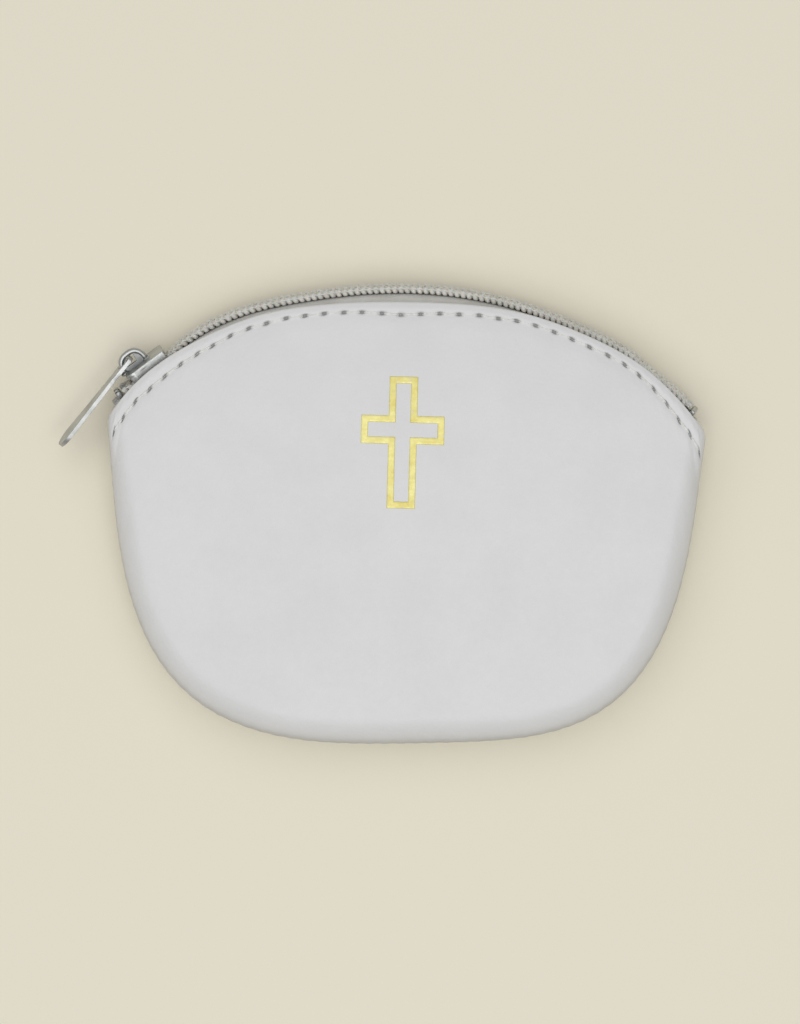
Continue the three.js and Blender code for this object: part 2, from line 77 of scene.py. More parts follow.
# ---- Dimensions of the finer detail ----

STITCH_PITCH, STITCH_HOLES = 3.07, 36
STITCH_SETBACK, MIDDLE_SETBACK, END_SETBACK = 1.22, 0.5, 0.95  # the last two are added there
HOLE_LENGTH, HOLE_WIDTH, HOLE_DEPTH = 0.66, 0.36, 0.55
HOLE_STRAY_ALONG, HOLE_STRAY_ACROSS = 0.14, 0.1
THREAD_RADIUS, THREAD_TWIST, PLY_DEPTH = 0.17, 0.9, 0.16
SEAM_STITCH_PITCH, SEAM_STITCH_INSET, SEAM_THREAD_RADIUS = 2.5, 1.25, 0.15

# The heads of each half of the coil reach COIL_HEAD past the zip's middle to mesh with the
# other's. In front of the slider each half has run COIL_PARTING away from it.
COIL_PITCH, COIL_WIRE, COIL_HEAD, COIL_SETTLE, COIL_PARTING = 1.0, 0.25, 0.6, 0.09, 0.75
FILLER_HEIGHT, FILLER_RADIUS, FILLER_TWIST = 1.1, 0.3, 0.8
SEWING_HEIGHTS, SEWING_RADIUS, SEWING_TWIST = (0.95, 1.6), 0.09, 0.5
STOP_LENGTH, STOP_ANGLE = 0.9, 0.6

# The rolled outer edge of the leather, and the sag of the bottom edge left of the middle.
ROLL_WIDTH = 4.7
BASE_SAG, SAG_X, SAG_WIDTH = 1.0, -10, 20

# The arch over the slider, a flat wire, with a flat lock spring inside it.
CROWN_X, CROWN_HALF_LENGTH, CROWN_HEIGHT = -1.3, 2.475, 2.875
CROWN_BAR, CROWN_HALF_WIDTH, SPRING_HALF = 0.9, 0.55, 0.28
BLADE_THICKNESS, BLADE_LIFT = 0.64, 0.1

# How far the soft leather edge has drawn back from the mouth line: an even part, and bumps
# of (height, x, width).
EDGE_DRAW = 0.62
DRAW_BUMPS = ((0.3, -1, 10), (0.65, 44, 5), (-0.45, -24, 8), (-0.33, 18, 9))

# How far the closed zip lies outside a true arc: an even part, and bumps of (height, angle,
# width), but nothing where the slider stands at either end. The coil stands out where it has
# run apart in front of the slider, and its other end tucks in.
ZIP_SWAY = 0.2
SWAY_BUMPS = ((1.15, -25.5, 10), (0.3, 30, 5))
FRONT_SWAY, END_TUCK = 0.35, 0.6


def smoothstep(value, low, high):
    share = np.clip((value - low) / (high - low), 0, 1)
    return share * share * (3 - 2 * share)


def bell(value, centre, width):
    """A smooth bump of height 1."""
    return np.exp(-(((value - centre) / width) ** 2))


def bumps(value, shapes):
    """The sum of bumps of (height, centre, width)."""
    return sum(height * bell(value, centre, width) for height, centre, width in shapes)


def unit(vectors):
    return vectors / np.maximum(np.linalg.norm(vectors, axis=-1, keepdims=True), 1e-9)


def run_along(path):
    """How far each point of a path is from its start, along the path."""
    return np.concatenate([[0], np.cumsum(np.linalg.norm(np.diff(path, axis=0), axis=1))])


def soft_noise(points, wavelength, seed=0.0):
    """Smooth noise from about -1 to 1 at each point."""
    flat = np.asarray(points, float).reshape(-1, 3) / wavelength + seed
    values = np.array([noise.noise(Vector(p)) for p in flat])
    return values.reshape(np.asarray(points).shape[:-1])


# ---- Frame and camera ----

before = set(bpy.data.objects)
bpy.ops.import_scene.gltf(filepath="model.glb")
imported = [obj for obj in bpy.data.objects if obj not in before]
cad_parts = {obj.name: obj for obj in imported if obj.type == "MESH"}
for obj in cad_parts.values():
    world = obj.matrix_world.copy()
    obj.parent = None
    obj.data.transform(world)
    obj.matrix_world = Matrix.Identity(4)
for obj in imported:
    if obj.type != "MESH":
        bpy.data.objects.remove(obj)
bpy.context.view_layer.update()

CAMERA_LENS, CAMERA_SENSOR = 110, 36
VIEW_HEIGHT = 163.1 * MM  # what the picture's height covers at the front panel
VIEW_CENTRE = (-0.69 * MM, 0.45 * MM, 9 * MM)
VIEW_ROLL = 1.5  # degrees


def linked(name, data):
    """A new object in the scene."""
    obj = bpy.data.objects.new(name, data)
    bpy.context.scene.collection.objects.link(obj)
    return obj


def add_camera():
    data = bpy.data.cameras.new("camera")
    data.lens, data.sensor_width = CAMERA_LENS, CAMERA_SENSOR
    data.clip_start, data.clip_end = 0.01, 20
    camera = linked("camera", data)
    away = VIEW_HEIGHT / 2 * CAMERA_LENS / (CAMERA_SENSOR / 2)
    camera.location = Vector(VIEW_CENTRE) + Vector((0, 0, away))
    camera.rotation_euler = (0, 0, math.radians(VIEW_ROLL))
    bpy.context.scene.camera = camera


# ---- Meshes ----


def mesh_object(name, points, faces, material, corner_uvs=None, marks=None):
    """A smooth-shaded object from points in millimetres. marks are named numbers per point."""
    mesh = bpy.data.meshes.new(name)
    mesh.from_pydata((np.asarray(points) * MM).tolist(), [], faces)
    for label, values in (marks or {}).items():
        layer = mesh.attributes.new(label, "FLOAT", "POINT")
        layer.data.foreach_set("value", np.asarray(values, np.float32).ravel())
    if corner_uvs is not None:
        layer = mesh.uv_layers.new(name="Cloth")
        layer.data.foreach_set("uv", np.asarray(corner_uvs, np.float32).ravel())
    made = bmesh.new()
    made.from_mesh(mesh)
    bmesh.ops.remove_doubles(made, verts=made.verts, dist=2e-6)
    bmesh.ops.dissolve_degenerate(made, edges=made.edges, dist=1e-7)
    bmesh.ops.recalc_face_normals(made, faces=made.faces)
    made.to_mesh(mesh)
    made.free()
    mesh.shade_smooth()
    mesh.materials.append(material)
    return linked(name, mesh)


def skin_faces(count, around, caps, closed=False):
    """Faces over rings of points, and the ring and place of each face corner."""
    faces, places = [], []
    for i in range(count if closed else count - 1):
        for j in range(around):
            ring, spot = (i + 1) % count, (j + 1) % around
            faces.append(
                (i * around + j, i * around + spot, ring * around + spot, ring * around + j)
            )
            places += [(i, j), (i, j + 1), (i + 1, j + 1), (i + 1, j)]
    for end in (0, count - 1) if caps and not closed else ():
        base = end * around
        if caps == "fan":
            faces.append(tuple(range(base, base + around)))
            places += [(end, j) for j in range(around)]
        else:
            for j in range(around // 2 - 1):
                spots = (j, j + 1, around - 2 - j, around - 1 - j)
                faces.append(tuple(base + spot for spot in spots))
                places += [(end, spot) for spot in spots]
    return faces, places


def skin(name, rings, material, caps="strip", closed=False, uvs=None, marks=None):
    """A surface over equal closed rings of points; uvs has one more place round each ring."""
    rings = np.asarray(rings, float)
    count, around = rings.shape[:2]
    faces, places = skin_faces(count, around, caps, closed)
    corner_uvs = None
    if uvs is not None:
        corner_uvs = [uvs[i % len(uvs)][j] for i, j in places]
    return mesh_object(name, rings.reshape(-1, 3), faces, material, corner_uvs, marks)


def ring_uvs(rings):
    """Distances in millimetres along and round a set of rings."""
    rings = np.asarray(rings)
    closed = np.concatenate([rings, rings[:, :1]], axis=1)
    across = np.array([run_along(ring) for ring in closed])
    steps = np.linalg.norm(np.diff(rings, axis=0), axis=2).mean(axis=1)
    along = np.concatenate([[0], np.cumsum(steps)])
    return np.stack([np.broadcast_to(along[:, None], across.shape), across], axis=2)


def tube_rings(path, upward, radius, sides, twist=0.0, widen=1.0):
    """Rings round a path, made wider by widen along upward, which crosses the path."""
    path = np.asarray(path, float)
    ahead = unit(np.gradient(path, axis=0))
    side = unit(np.cross(ahead, np.broadcast_to(upward, path.shape)))
    up = np.cross(side, ahead)
    turns = np.arange(sides) * 2 * math.pi / sides
    size = np.full((len(path), sides), float(radius))
    if twist:  # two plies laid round each other
        laid = 2 * math.pi * run_along(path)[:, None] / twist
        size *= 1 + PLY_DEPTH * np.cos(2 * (turns[None] - laid))
    spread = up[:, None] * np.cos(turns)[:, None] * widen + side[:, None] * np.sin(turns)[:, None]
    return path[:, None] + spread * size[..., None]


def tubes(name, ring_sets, material):
    """Several capped tubes as one object."""
    points, faces = [], []
    for rings in ring_sets:
        count, around = rings.shape[:2]
        made, _ = skin_faces(count, around, "fan")
        faces += [tuple(corner + len(points) for corner in face) for face in made]
        points += rings.reshape(-1, 3).tolist()
    return mesh_object(name, points, faces, material)


# ---- Panel surfaces ----


def resampled(points, fractions):
    """Points at fractions of a polyline's length."""
    run = run_along(points)
    return np.stack([np.interp(fractions * run[-1], run, axis) for axis in points.T], axis=1)


def seam_outline(turn):
    """The sewn outer edge seen from the front, from the right corner to the left one."""
    side = np.sign(np.cos(turn)) * np.abs(np.cos(turn)) ** (2 / SEAM_SIDE_POWER)
    drop = SEAM_DEPTH * np.abs(np.sin(turn)) ** (2 / SEAM_BASE_POWER)
    x = (SEAM_HALF_WIDTH - SEAM_TAPER * drop) * side
    sag = BASE_SAG * bell(x, SAG_X, SAG_WIDTH) * (drop / SEAM_DEPTH) ** 4
    return np.stack([x, CORNER_Y - drop - sag], axis=-1)


def seam_inset(turn, inset):
    """The seam outline moved inwards."""
    step = 1e-3
    after = seam_outline(np.minimum(turn + step, math.pi))
    along = unit(after - seam_outline(np.maximum(turn - step, 0)))
    inward = np.stack([along[..., 1], -along[..., 0]], axis=-1)
    return seam_outline(turn) + inset * inward


def mouth_y(x, inset=0.0):
    """The mouth line, which is the top of an ellipse."""
    share = np.minimum(np.abs(x) / (MOUTH_HALF_WIDTH - inset), 1)
    return MOUTH_CENTRE_Y + (MOUTH_RISE - inset) * np.sqrt(1 - share**2)


def panel_height(side, inset, from_mouth, from_seam, length):
    """Height of a panel's face above the seam, from its distances to the mouth and seam."""
    full = (FRONT_RISE if side == FRONT else BACK_RISE) - inset
    edge = EDGE_RISE - inset
    shy = 1 - np.minimum(from_seam / CROWN_REACH, 1)
    top = full * (1 - CROWN_DROP * shy**2) if side == FRONT else full
    level = 1 - (1 - np.minimum(from_mouth / EDGE_REACH, 1)) ** 2
    roll = np.minimum(ROLL_WIDTH, 0.75 * length)
    rolled = np.sqrt(1 - (1 - np.minimum(from_seam / np.maximum(roll, 1e-9), 1)) ** 2)
    return (edge + (top - edge) * level) * rolled


LINE_STEPS = 6001  # points along each edge that a panel is ruled between


class PanelFace:
    """One face of a panel, ruled from the mouth edge down to the seam."""

    def __init__(self, side, inset, mouth_inset):
        self.side, self.inset = side, inset
        turns = np.linspace(0, math.pi / 4, LINE_STEPS)
        points = seam_inset(turns, inset)
        start = turns[np.argmax(points[:, 1] <= mouth_y(points[:, 0], mouth_inset))]
        self.foot_line = seam_inset(np.linspace(start, math.pi - start, LINE_STEPS), inset)
        self.corner_x = self.foot_line[0, 0]
        half, rise = MOUTH_HALF_WIDTH - mouth_inset, MOUTH_RISE - mouth_inset
        first = math.acos(self.corner_x / half)
        angles = np.linspace(first, math.pi - first, LINE_STEPS)
        self.top_line = np.stack(
            [half * np.cos(angles), MOUTH_CENTRE_Y + rise * np.sin(angles)], axis=1
        )

    def lines(self, fractions):
        """Where the lines at these fractions start and end, and their lengths."""
        top, foot = resampled(self.top_line, fractions), resampled(self.foot_line, fractions)
        return top, foot, np.linalg.norm(foot - top, axis=1)

    def slant(self, fractions, at_foot=False):
        """How squarely each line meets the mouth edge or the seam, from 0.4 up to 1."""
        even = np.linspace(0, 1, 1001)
        top, foot, _ = self.lines(even)
        ahead = unit(np.gradient(foot if at_foot else top, axis=0))
        line = unit(foot - top)
        crossed = np.abs(ahead[:, 0] * line[:, 1] - ahead[:, 1] * line[:, 0])
        return np.interp(fractions, even, np.maximum(crossed, 0.4))

    def points(self, fractions, distances):
        """Points at distances[i] from the mouth edge, along the line at fractions[i]."""
        top, foot, length = self.lines(fractions)
        share = distances / np.maximum(length, 1e-9)[:, None]
        flat = top[:, None] + (foot - top)[:, None] * share[..., None]
        out = np.maximum(0, np.abs(top[:, 0]) - (self.corner_x - CORNER_BLEND)) / CORNER_BLEND
        taper = (1 - np.minimum(out, 1) ** 4) ** 0.25
        square = self.slant(fractions, at_foot=True)[:, None]
        from_seam = np.maximum(length[:, None] - distances, 0) * square
        height = panel_height(self.side, self.inset, distances, from_seam, length[:, None] * square)
        rise = SEAM_GAP / 2 + height * taper[:, None] * (1 - SEAM_GAP / 2 / BACK_RISE)
        return np.concatenate([flat, (SEAM_Z + self.side * rise)[..., None]], axis=2)


def mouth_draw(face, fractions):
    """How far the leather's edge lies in from the mouth line, along each line of a panel."""
    top, _, length = face.lines(fractions)
    return (EDGE_DRAW + bumps(top[:, 0], DRAW_BUMPS)) * smoothstep(length, 1, 9)


def row_setback(face, fractions):
    """How far the stitching row lies in from the leather's edge."""
    x = face.lines(fractions)[0][:, 0]
    ends = smoothstep(-x, 22, 40) + smoothstep(x, 33, 43)
    return STITCH_SETBACK + MIDDLE_SETBACK * bell(x, 0, 6) + END_SETBACK * ends


def row_distance(face, fractions):
    """Distances of the stitching row from the mouth line: even, but for the very ends."""
    inward = row_setback(face, fractions) / face.slant(fractions)
    return np.minimum(mouth_draw(face, fractions) + inward, 0.8 * face.lines(fractions)[2])


def row_run(face):
    """Distances along the stitching row, from its middle, at even fractions of the panel."""
    fractions = np.linspace(0, 1, 3001)
    row = face.points(fractions, row_distance(face, fractions)[:, None])[:, 0]
    run = run_along(row)
    return fractions, run - run[-1] / 2


def stitch_holes(seed):
    """Where the needle went through: distances along the row and off its line."""
    chance = np.random.default_rng(seed)
    along = (np.arange(STITCH_HOLES) - (STITCH_HOLES - 1) / 2) * STITCH_PITCH
    along = along + chance.uniform(-HOLE_STRAY_ALONG, HOLE_STRAY_ALONG, STITCH_HOLES)
    return along, chance.uniform(-HOLE_STRAY_ACROSS, HOLE_STRAY_ACROSS, STITCH_HOLES)


def edge_relief(along, distance, from_row, holes):
    """The turned and stitched mouth edge: its height and how deep in a needle hole it is."""
    hole_along, hole_offset = holes
    near = np.abs(along[..., None] - hole_along).argmin(axis=-1)
    apart = along - hole_along[near]
    fade = 1 - smoothstep(np.abs(along), hole_along[-1] + 0.5, hole_along[-1] + 2)
    between = 1 - 0.3 * bell(apart, 0, 0.9)  # less at the holes, where the thread pulls it down
    # The turned edge is puffed, the row lies in a groove, and the leather swells beyond it.
    puff = 0.2 * bell(distance, 0.75, 0.6) * between
    groove = -0.1 * bell(from_row, 0, 0.6)
    swell = 0.08 * bell(distance, 3.4, 1.2) * between
    reach = (apart / HOLE_LENGTH) ** 2 + ((from_row - hole_offset[near]) / HOLE_WIDTH) ** 2
    hole = 1 - smoothstep(np.sqrt(reach), 0.55, 1.15)
    return (puff + groove + swell - HOLE_DEPTH * hole) * fade, hole * fade


# ---- Leather and lining ----


def column_fractions(columns, crowding):
    """Fractions of a panel's width, closer together at its two ends."""
    even = np.linspace(0, 1, columns + 1)
    return even - crowding * np.sin(2 * math.pi * even) / (2 * math.pi)


def column_distances(length, band, band_rows, flat_rows, roll_rows):
    """Distances from the mouth for each line, closer together at the edge and the roll."""
    roll = np.minimum(1.3 * ROLL_WIDTH, 0.65 * length)[:, None]
    band = np.minimum(band, 0.3 * length)[:, None]
    flat_end = length[:, None] - roll
    near = band * np.linspace(0, 1, band_rows, endpoint=False)
    middle = band + (flat_end - band) * np.linspace(0, 1, flat_rows, endpoint=False)
    bent = flat_end + roll * np.sin(math.pi / 2 * np.linspace(0, 1, roll_rows + 1))
    return np.concatenate([near, middle, bent], axis=1)


def soft_shape(points, side, seed):
    """Gentle unevenness of a soft panel, outward."""
    broad = 0.12 * soft_noise(points, 30, seed)
    fine = 0.03 * soft_noise(points, 9, seed + 7)
    return (broad + fine) if side == FRONT else np.minimum(broad + fine, 0.0)


def seam_tucks(edge, inward, side):
    """The outer edge turned in to the seam: three more points on each line."""
    tucks = []
    for bend in np.radians((30, 60, 90)):
        tuck = edge.copy()
        tuck[:, :2] += inward * 0.35 * (1 - math.cos(bend))
        tuck[:, 2] -= side * (SEAM_GAP / 2 - 0.02) * math.sin(bend)
        tucks.append(tuck)
    return np.stack(tucks, axis=1)


def mouth_rim(top, under, bulge):
    """Points round the turned edge, from the outer face's edge to the inner face's."""
    rim = []
    for bend in np.radians((30, 60, 90, 120, 150)):
        edge = top + (under - top) * (1 - math.cos(bend)) / 2
        edge[:, :2] -= bulge * math.sin(bend)
        rim.append(edge)
    return np.stack(rim, axis=1)


def leather_panel(name, side, seed):
    """A leather panel with a turned, stitched mouth edge and a rolled, sewn outer edge."""
    outer, inner = PanelFace(side, 0, 0), PanelFace(side, LEATHER, 0)
    fractions = column_fractions(480, crowding=0.3)
    top, foot, reach = outer.lines(fractions)
    draw, length = mouth_draw(outer, fractions)[:, None], reach[:, None]
    spread = draw + column_distances(
        reach - draw[:, 0], band=4.2, band_rows=26, flat_rows=22, roll_rows=14
    )
    points = outer.points(fractions, spread)
    row_fractions, run = row_run(outer)
    along = np.interp(fractions, row_fractions, run)[:, None] * np.ones_like(spread)
    slant = outer.slant(fractions)[:, None]
    from_row = (spread - row_distance(outer, fractions)[:, None]) * slant
    relief, hole = edge_relief(along, (spread - draw) * slant, from_row, stitch_holes(seed))
    calm = smoothstep(length - spread, 0, 6)
    points[..., 2] += side * (relief + soft_shape(points, side, seed) * calm)

    # The outer edge is drawn in a little at each hidden stitch.
    inward = unit(inner.lines(fractions)[1] - foot)
    pucker = 0.06 + 0.035 * np.cos(2 * math.pi * run_along(foot) / SEAM_STITCH_PITCH)
    near_seam = (1 - smoothstep(length - spread, 0.3, 3.0)) * smoothstep(length, 6, 14)
    points[..., :2] += inward[:, None] * (near_seam * pucker[:, None])[..., None]

    inner_spread = draw + column_distances(
        inner.lines(fractions)[2] - draw[:, 0], band=3, band_rows=6, flat_rows=10, roll_rows=6
    )
    inside = inner.points(fractions, inner_spread)
    inside[..., 2] += side * np.minimum(soft_shape(inside, side, seed), 0) * 0.5

    bulge = unit(foot - top) * 0.38 * LEATHER * smoothstep(length, 0, 2)
    rim = mouth_rim(points[:, 0], inside[:, 0], bulge)
    tucks = seam_tucks(points[:, -1], inward, side)
    rings = np.concatenate([points, tucks, inside[:, ::-1], rim[:, ::-1]], axis=1)
    # The hole and crease marks darken the leather's colour: painted shade in the needle holes and
    # along the seam's crease.
    holes, crease = np.zeros(rings.shape[:2]), np.zeros(rings.shape[:2])
    count = spread.shape[1]
    holes[:, :count] = hole
    crease[:, :count] = bell(length - spread, 0, 0.8)
    crease[:, count : count + tucks.shape[1]] = 1
    return skin(name, rings, leather, marks={"hole": holes, "crease": crease})


def lining_panel(name, side, seed):
    """A lining that hangs inside the leather, a little slack."""
    fractions = column_fractions(150, crowding=0.45)
    faces = []
    for inset in (LINING_INSET, LINING_INSET + LINING):
        face = PanelFace(side, inset, LINING_SETBACK)
        length = face.lines(fractions)[2][:, None]
        spread = column_distances(length[:, 0], band=2, band_rows=5, flat_rows=22, roll_rows=9)
        points = face.points(fractions, spread)
        slack = 0.28 * soft_noise(points * [1, 0.45, 0], 6.5, seed) - 0.22
        points[..., 2] += side * slack * smoothstep(length - spread, 0, 8)
        faces.append(points)
    rings = np.concatenate([faces[0], faces[1][:, ::-1]], axis=1)
    return skin(name, rings, lining, uvs=ring_uvs(rings))


# ---- Places on the zip ----


def zip_point(angle, radius, height):
    """A point at an angle to the right of the zip's middle, and a height above the seam."""
    turn = np.radians(angle)
    x, y = radius * np.sin(turn), ZIP_CENTRE_Y + radius * np.cos(turn)
    return np.stack([x, y, SEAM_Z + height + 0 * turn], axis=-1)


def sway(angle):
    """How far out the closed zip lies from a true arc."""
    out = ZIP_SWAY + bumps(angle, SWAY_BUMPS)
    out = out * smoothstep(angle, -36.5, -31) * (1 - smoothstep(angle, 31, 36))
    front, end = 1 - smoothstep(angle, -41.6, -40.4), smoothstep(angle, 41.6, 43.6)
    return out + FRONT_SWAY * front - END_TUCK * end


def parting(angle):
    """How far each half of the coil has run apart from the other, in front of the slider."""
    return COIL_PARTING * (1 - smoothstep(angle, -39.8, -37.8))


def leaned(radius, height):
    """A radius and height with the zip's lean, which turns its outer side up."""
    cos, sin = math.cos(math.radians(LEAN_ANGLE)), math.sin(math.radians(LEAN_ANGLE))
    out = radius - LEAN_RADIUS
    return LEAN_RADIUS + out * cos - height * sin, height * cos + out * sin


def turned(angle, axis):
    return Matrix.Rotation(math.radians(angle), 4, axis)


def leaning_frame(angle, out=0.0):
    """A frame on the zip's arc: x along it, y outward as a radius, z up, with the zip's lean."""
    return (
        Matrix.Translation((0, ZIP_CENTRE_Y, SEAM_Z))
        @ turned(-angle, "Z")
        @ Matrix.Translation((0, LEAN_RADIUS + out, 0))
        @ turned(LEAN_ANGLE, "X")
        @ Matrix.Translation((0, -LEAN_RADIUS, 0))
    )


SLIDER_FRAME = leaning_frame(-SLIDER_ANGLE)
PULL_FRAME = SLIDER_FRAME @ Matrix.Translation((RAIL_X, PULL_RADIUS, 0)) @ turned(PULL_TURN, "Z")


# ---- Metal shapes ----


def arc(centre, radius, start, end, steps):
    angles = np.radians(np.linspace(start, end, steps))
    return [(centre[0] + radius * math.cos(a), centre[1] + radius * math.sin(a)) for a in angles]


def mirrored(points):
    """The points' mirror images across the x axis, in the opposite order."""
    return [(x, -z) for x, z in points[::-1]]


def plate(target, outline, low, high, holes=()):
    """Adds to a bmesh a flat plate: its outline in x and z, its thickness along y."""
    edges = []
    for loop in [outline, *holes]:
        corners = [target.verts.new((x, low, z)) for x, z in loop]
        pairs = zip(corners, corners[1:] + corners[:1])
        edges += [target.edges.new(pair) for pair in pairs]
    if holes:
        made = bmesh.ops.triangle_fill(target, edges=edges, use_beauty=True)["geom"]
        faces = [item for item in made if isinstance(item, bmesh.types.BMFace)]
    else:
        faces = [target.faces.new([edge.verts[0] for edge in edges])]
    raised = bmesh.ops.extrude_face_region(target, geom=faces)["geom"]
    tops = [item for item in raised if isinstance(item, bmesh.types.BMVert)]
    bmesh.ops.translate(target, verts=tops, vec=(0, high - low, 0))


def metal_object(name, shape, place, material, bevel=0.0, voxel=0.0):
    """A metal piece from a bmesh: bevelled, or fused from overlapping solids and smoothed."""
    bmesh.ops.recalc_face_normals(shape, faces=shape.faces)
    shape.transform(Matrix.Scale(MM, 4) @ place)
    mesh = bpy.data.meshes.new(name)
    shape.to_mesh(mesh)
    shape.free()
    mesh.shade_smooth()
    mesh.materials.append(material)
    obj = linked(name, mesh)
    if voxel:
        fused = obj.modifiers.new("fused", "REMESH")
        fused.mode, fused.voxel_size, fused.use_smooth_shade = "VOXEL", voxel * MM, True
        soft = obj.modifiers.new("soft", "SMOOTH")
        soft.factor, soft.iterations = 0.5, 4
    if bevel:
        rounded = obj.modifiers.new("rounded", "BEVEL")
        rounded.width, rounded.segments = bevel * MM, 3
        rounded.limit_method, rounded.angle_limit = "ANGLE", math.radians(35)
        obj.modifiers.new("flat_faces", "WEIGHTED_NORMAL")
    return obj


# ---- Zip ----


def tape_line(side, angle):
    """The tape's middle line across its width: up beside the coil, then in under the leather."""
    near_end = max(0.0, abs(angle) - 41) / 4  # towards its ends the tape stands lower
    top = TAPE_TOP * (1 - 0.5 * near_end**2)
    tuck = TAPE_TUCK * (1 - float(smoothstep(abs(angle), 36, 42))) + 0.4
    full = (FRONT_RISE * (1 - CROWN_DROP / 2) if side == FRONT else BACK_RISE) - EDGE_RISE
    middle = TAPE_OUTER - TAPE_THICKNESS / 2

    def under_leather(radius):
        edge = zip_point(angle, radius, 0)
        from_mouth = max(0.0, float(mouth_y(edge[0]) - edge[1]))
        rise = full * (1 - (1 - min(from_mouth / EDGE_REACH, 1)) ** 2)
        return np.array([radius, side * (top + rise - TAPE_THICKNESS / 2)])

    def stand(height):
        return np.array(leaned(middle, side * height))

    bend = stand(top)[0] - 1.2 + 0.7 * min(1.0, near_end * 2)
    low, high, corner = stand(TAPE_FOOT), stand(top - 1.1), stand(top - TAPE_THICKNESS / 2)
    flat = under_leather(bend)
    line = [low + (high - low) * s for s in np.linspace(0, 1, 5)]
    for s in np.linspace(0, 1, 7)[1:]:
        first, second = high * (1 - s) + corner * s, corner * (1 - s) + flat * s
        line.append(first * (1 - s) + second * s)
    line += [under_leather(bend - tuck * s) for s in np.linspace(0, 1, 8)[1:]]
    return np.array(line)


def zip_tape(name, side):
    """Half of the woven tape, bent round the mouth's edge."""
    rings = []
    for angle in np.linspace(-TAPE_HALF_ANGLE, TAPE_HALF_ANGLE, 241):
        line = tape_line(side, angle)
        ahead = unit(np.gradient(line, axis=0))
        across = np.stack([-ahead[:, 1], ahead[:, 0]], axis=1) * TAPE_THICKNESS / 2
        section = np.concatenate([line + across, (line - across)[::-1]])
        rings.append(zip_point(angle, section[:, 0] + sway(angle), section[:, 1]))
    return skin(name, rings, tape, uvs=ring_uvs(rings))


COIL_STEP = math.degrees(COIL_PITCH / (COIL_OUTER - COIL_THICKNESS / 2))  # angle of one turn


def zip_coil(name, side):
    """One half of the zip's coil: a wire wound into flat turns whose heads interlock."""
    per_turn = 14
    turns = int(2 * COIL_HALF_ANGLE / COIL_STEP)
    count = np.arange(turns * per_turn + 1) / per_turn
    first = 0.25 if side == FRONT else 0.75  # the two halves are half a turn apart
    angle = np.minimum(-COIL_HALF_ANGLE + COIL_STEP * (count + first), COIL_HALF_ANGLE)
    phase = 2 * math.pi * count
    half_depth = COIL_THICKNESS / 2 - COIL_WIRE
    half_height = (COIL_FAR + COIL_HEAD) / 2 - COIL_WIRE
    round_off = np.sign(np.cos(phase)) * np.abs(np.cos(phase)) ** 0.75
    radius = COIL_OUTER - COIL_THICKNESS / 2 - COIL_SETTLE + half_depth * round_off
    height = (COIL_FAR - COIL_HEAD) / 2 + half_height * np.sin(phase)
    out, up = leaned(radius, side * (height + parting(angle)))
    path = zip_point(angle, out + sway(angle), up)
    along = zip_point(angle + 0.5, COIL_OUTER, 0) - zip_point(angle - 0.5, COIL_OUTER, 0)
    wire = tube_rings(path, along, COIL_WIRE, sides=8, widen=1.5)
    return tubes(name, [wire, filler_cord(side)], nylon)


def filler_cord(side):
    """The soft cord that runs through a coil."""
    angle = np.linspace(-COIL_HALF_ANGLE, COIL_HALF_ANGLE, 301)
    height = side * (FILLER_HEIGHT + parting(angle))
    out, up = leaned(COIL_OUTER - COIL_THICKNESS / 2, height)
    path = zip_point(angle, out + sway(angle), up)
    return tube_rings(path, (0, 0, 1), FILLER_RADIUS, sides=8, twist=FILLER_TWIST)


def coil_sewing(name, side):
    """The thread that sews a coil to its tape, riding over every turn."""
    angle = np.linspace(-COIL_HALF_ANGLE, COIL_HALF_ANGLE, 801)
    wave = 0.5 + 0.5 * np.cos(2 * math.pi * (angle + COIL_HALF_ANGLE) / COIL_STEP)
    radius = COIL_OUTER - COIL_SETTLE - 0.06 - 0.2 * wave
    rows = []
    for height in SEWING_HEIGHTS:
        out, up = leaned(radius, side * (height + parting(angle)))
        path = zip_point(angle, out + sway(angle), up)
        rows.append(tube_rings(path, (0, 0, 1), SEWING_RADIUS, sides=6, twist=SEWING_TWIST))
    return tubes(name, rows, thread)


def zip_stop(name, angle, low, high):
    """A metal stop crimped round the end of a coil."""
    half = STOP_LENGTH / 2
    shape = bmesh.new()
    corners = [(-half, low), (-half, high), (half, high), (half, low)]
    plate(shape, corners, COIL_OUTER - COIL_THICKNESS, COIL_OUTER + 0.05)
    return metal_object(name, shape, leaning_frame(angle, float(sway(angle))), metal, bevel=0.28)


# ---- Stitching ----


def top_stitching(name, side, seed):
    """Each stitch is a twisted thread that dips into the needle hole at each end."""
    face = PanelFace(side, 0, 0)
    row_fractions, run = row_run(face)
    holes, offsets = stitch_holes(seed)
    sets = []
    for k in range(STITCH_HOLES - 1):
        share = np.linspace(0, 1, 26)
        along = holes[k] + (holes[k + 1] - holes[k]) * share
        offset = offsets[k] + (offsets[k + 1] - offsets[k]) * share
        fractions = np.interp(along, run, row_fractions)
        path = face.points(fractions, (row_distance(face, fractions) + offset)[:, None])[:, 0]
        path[:, 2] += side * soft_shape(path, side, seed)
        path[:, 2] -= side * (0.08 + 0.72 * smoothstep(np.abs(2 * share - 1), 0.52, 0.8))
        sets.append(tube_rings(path, (0, 0, side), THREAD_RADIUS, sides=9, twist=THREAD_TWIST))
    return tubes(name, sets, thread)


def seam_stitching(name):
    """The lockstitch that joins the two panels, hidden between the leather and the lining."""
    line = PanelFace(FRONT, SEAM_STITCH_INSET, 0).foot_line
    count = int(run_along(line)[-1] / SEAM_STITCH_PITCH)
    places = resampled(line, np.linspace(0.02, 0.98, count * 10 + 1))
    wave = 0.07 * np.cos(2 * math.pi * np.arange(len(places)) / 10)
    path = np.concatenate([places, (SEAM_Z + wave)[:, None]], axis=1)
    rings = tube_rings(path, (0, 0, 1), SEAM_THREAD_RADIUS, sides=8, twist=THREAD_TWIST)
    return tubes(name, [rings], thread)


# ---- Gold cross ----


